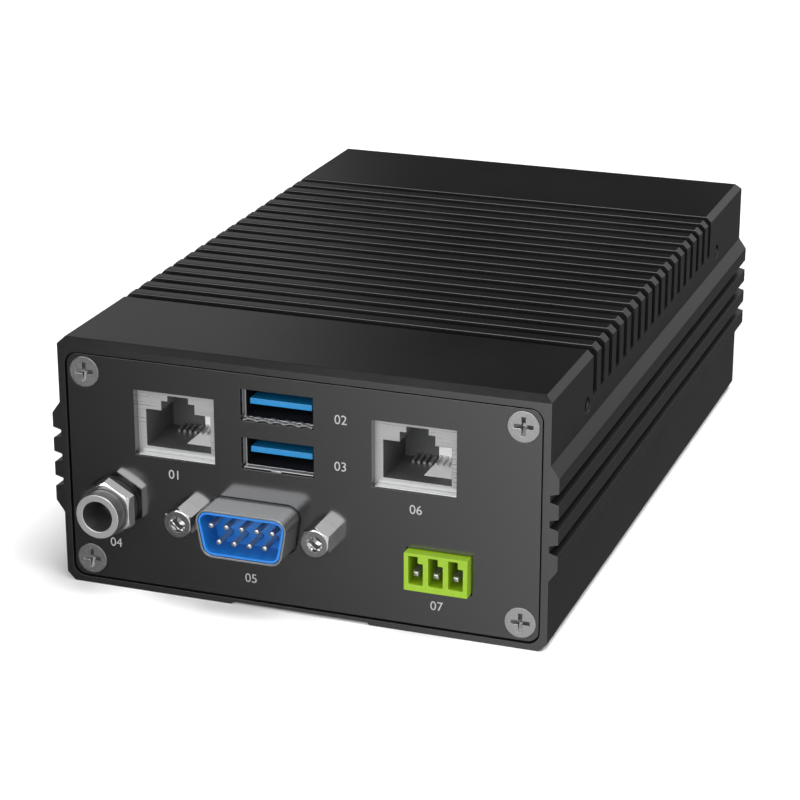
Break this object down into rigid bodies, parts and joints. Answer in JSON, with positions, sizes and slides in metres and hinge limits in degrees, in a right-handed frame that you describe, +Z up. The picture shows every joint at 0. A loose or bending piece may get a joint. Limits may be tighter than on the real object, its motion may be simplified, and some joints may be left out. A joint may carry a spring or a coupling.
{
  "type": "machine vision controller",
  "caption": "Compact fanless machine vision controller: black finned aluminium case with ribbed sides and a connector panel for network, data, serial, signal and power leads.",
  "frame": {"origin": "under the middle of the whole object, on the surface it stands on", "axes": "+Z up, -Y out of the connector panel, +X to the right when facing that panel"},
  "size_m": [0.091, 0.1434, 0.045],
  "materials": {
    "case_black": "satin black anodised",
    "panel_black": "satin black coat",
    "screw_steel": "satin plated",
    "standoff_brass": "machined",
    "board_laminate": "green solder mask",
    "chip_black": "moulded",
    "pad_grey": "soft pad",
    "bare_aluminium": "machined",
    "cell_steel": "bright",
    "jack_tin": "bright tinned sheet",
    "jack_dark": "moulded",
    "carrier_white": "moulded",
    "contact_gold": "gold flash",
    "port_nickel": "bright nickel plate",
    "tongue_blue": "moulded",
    "insulator_blue": "moulded",
    "pin_tin": "tin plate",
    "terminal_green": "moulded"
  },
  "bodies": {
    "root": {"housing": "case_black", "front_panel": "panel_black", "rear_panel": "panel_black", "front_panel_screws": "screw_steel", "rear_panel_screws": "screw_steel", "board_screws": "screw_steel", "storage_screw": "screw_steel", "board_standoffs": "standoff_brass", "storage_post": "standoff_brass", "main_board": "board_laminate", "io_board": "board_laminate", "memory_module": "board_laminate", "storage_module": "board_laminate", "processor": "chip_black", "memory_socket": "chip_black", "storage_socket": "chip_black", "coin_cell_holder": "chip_black", "board_link_plug": "chip_black", "board_link_socket": "chip_black", "data_port_block": "chip_black", "power_socket_body": "chip_black", "power_socket_washer": "chip_black", "thermal_pad": "pad_grey", "heat_block": "bare_aluminium", "power_capacitors": "bare_aluminium", "coin_cell": "cell_steel", "network_jack_left_shield": "jack_tin", "network_jack_right_shield": "jack_tin", "network_jack_left_insert": "jack_dark", "network_jack_right_insert": "jack_dark", "network_jack_left_carrier": "carrier_white", "network_jack_right_carrier": "carrier_white", "data_port_lower_contacts": "contact_gold", "data_port_upper_contacts": "contact_gold", "data_port_lower_shell": "port_nickel", "data_port_upper_shell": "port_nickel", "serial_port_shell": "port_nickel", "serial_port_jackscrews": "port_nickel", "power_socket_barrel": "port_nickel", "power_socket_nut": "port_nickel", "data_port_lower_tongue": "tongue_blue", "data_port_upper_tongue": "tongue_blue", "serial_port_insulator": "insulator_blue", "serial_port_pins": "pin_tin", "terminal_block_pins": "pin_tin", "power_socket_pin": "pin_tin", "network_jack_left_contacts": "pin_tin", "network_jack_right_contacts": "pin_tin", "terminal_block_housing": "terminal_green"}
  },
  "joints": []
}
